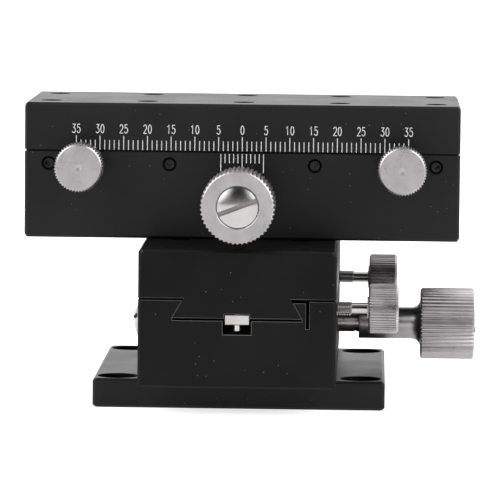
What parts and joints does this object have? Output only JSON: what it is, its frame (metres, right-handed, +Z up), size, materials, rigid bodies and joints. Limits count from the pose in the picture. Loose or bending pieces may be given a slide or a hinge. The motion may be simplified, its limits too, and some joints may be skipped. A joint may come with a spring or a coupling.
{
  "type": "two-axis dovetail stage",
  "caption": "Two rack-and-pinion dovetail slides stacked crosswise on a square flange, with knurled drive knobs, clamp screws and engraved millimetre scales.",
  "frame": {"origin": "centre of the flange plate's underside, with both slides at mid travel", "axes": "+X along the upper slide, +Y along the lower slide and away from the upper drive knob, +Z up through both tables"},
  "size_m": [0.0942, 0.0942, 0.062],
  "materials": {
    "black_anodised": "satin black anodised",
    "nickel_steel": "turned and knurled, nickel bright",
    "black_oxide": "black oxide",
    "brass": "turned"
  },
  "bodies": {
    "base": {"base_plate": "black_anodised", "plate_screw_1": "black_oxide", "plate_screw_2": "black_oxide", "plate_screw_3": "black_oxide", "plate_screw_4": "black_oxide", "y_base": "black_anodised", "y_knob_bush": "brass", "y_end_bush": "brass", "y_gib_screw_1": "black_oxide", "y_gib_screw_2": "black_oxide", "y_gib_screw_3": "black_oxide", "y_gib_screw_4": "black_oxide"},
    "y_carriage": {"y_table": "black_anodised", "y_rack": "nickel_steel", "y_rack_screw_1": "nickel_steel", "y_rack_screw_2": "nickel_steel", "y_stop_pin_1": "nickel_steel", "y_stop_pin_2": "nickel_steel", "stage_screw_1": "black_oxide", "stage_screw_2": "black_oxide", "x_base": "black_anodised", "x_knob_bush": "brass", "x_end_bush": "brass", "x_gib_screw_1": "black_oxide", "x_gib_screw_2": "black_oxide", "x_gib_screw_3": "black_oxide", "x_gib_screw_4": "black_oxide"},
    "x_carriage": {"x_table": "black_anodised", "x_rack": "nickel_steel", "x_rack_screw_1": "nickel_steel", "x_rack_screw_2": "nickel_steel", "x_stop_pin_1": "nickel_steel", "x_stop_pin_2": "nickel_steel"},
    "y_pinion": {"y_pinion_shaft": "nickel_steel", "y_knob": "nickel_steel", "y_knob_screw": "nickel_steel", "y_end_screw": "nickel_steel", "y_thrust_washer": "nickel_steel"},
    "y_clamp_1_pad": {"y_clamp_1_pad": "brass"},
    "y_clamp_1": {"y_clamp_1_stud": "nickel_steel", "y_clamp_1_knob": "nickel_steel"},
    "y_clamp_2_pad": {"y_clamp_2_pad": "brass"},
    "y_clamp_2": {"y_clamp_2_stud": "nickel_steel", "y_clamp_2_knob": "nickel_steel"},
    "x_pinion": {"x_pinion_shaft": "nickel_steel", "x_knob": "nickel_steel", "x_knob_screw": "nickel_steel", "x_end_screw": "nickel_steel", "x_thrust_washer": "nickel_steel"},
    "x_clamp_1_pad": {"x_clamp_1_pad": "brass"},
    "x_clamp_1": {"x_clamp_1_stud": "nickel_steel", "x_clamp_1_knob": "nickel_steel"},
    "x_clamp_2_pad": {"x_clamp_2_pad": "brass"},
    "x_clamp_2": {"x_clamp_2_stud": "nickel_steel", "x_clamp_2_knob": "nickel_steel"}
  },
  "joints": [
    {"name": "y_slide", "type": "slide", "parent": "base", "child": "y_carriage", "axis": [0, 1, 0], "range_m": [-0.035, 0.035]},
    {"name": "x_slide", "type": "slide", "parent": "y_carriage", "child": "x_carriage", "axis": [1, 0, 0], "range_m": [-0.035, 0.035]},
    {"name": "y_pinion_turn", "type": "hinge", "parent": "base", "child": "y_pinion", "pos_m": [0, 0, 0.015], "axis": [1, 0, 0], "range_deg": [-670, 670]},
    {"name": "y_clamp_1_advance", "type": "slide", "parent": "base", "child": "y_clamp_1_pad", "axis": [1, 0, 0], "range_m": [0, 0.001]},
    {"name": "y_clamp_1_turn", "type": "hinge", "parent": "y_clamp_1_pad", "child": "y_clamp_1", "pos_m": [0, -0.033, 0.0214], "axis": [1, 0, 0], "range_deg": [0, 720]},
    {"name": "y_clamp_2_advance", "type": "slide", "parent": "base", "child": "y_clamp_2_pad", "axis": [1, 0, 0], "range_m": [0, 0.001]},
    {"name": "y_clamp_2_turn", "type": "hinge", "parent": "y_clamp_2_pad", "child": "y_clamp_2", "pos_m": [0, 0.033, 0.0214], "axis": [1, 0, 0], "range_deg": [0, 720]},
    {"name": "x_pinion_turn", "type": "hinge", "parent": "y_carriage", "child": "x_pinion", "pos_m": [0, 0, 0.043], "axis": [0, -1, 0], "range_deg": [-670, 670]},
    {"name": "x_clamp_1_advance", "type": "slide", "parent": "y_carriage", "child": "x_clamp_1_pad", "axis": [0, -1, 0], "range_m": [0, 0.001]},
    {"name": "x_clamp_1_turn", "type": "hinge", "parent": "x_clamp_1_pad", "child": "x_clamp_1", "pos_m": [-0.033, 0, 0.0494], "axis": [0, -1, 0], "range_deg": [0, 720]},
    {"name": "x_clamp_2_advance", "type": "slide", "parent": "y_carriage", "child": "x_clamp_2_pad", "axis": [0, -1, 0], "range_m": [0, 0.001]},
    {"name": "x_clamp_2_turn", "type": "hinge", "parent": "x_clamp_2_pad", "child": "x_clamp_2", "pos_m": [0.033, 0, 0.0494], "axis": [0, -1, 0], "range_deg": [0, 720]}
  ],
  "couplings": [
    {"joint": "y_pinion_turn", "follows": "y_slide", "rad_per_m": -333.33},
    {"joint": "y_clamp_1_turn", "follows": "y_clamp_1_advance", "rad_per_m": 12566},
    {"joint": "y_clamp_2_turn", "follows": "y_clamp_2_advance", "rad_per_m": 12566},
    {"joint": "x_pinion_turn", "follows": "x_slide", "rad_per_m": -333.33},
    {"joint": "x_clamp_1_turn", "follows": "x_clamp_1_advance", "rad_per_m": 12566},
    {"joint": "x_clamp_2_turn", "follows": "x_clamp_2_advance", "rad_per_m": 12566}
  ]
}
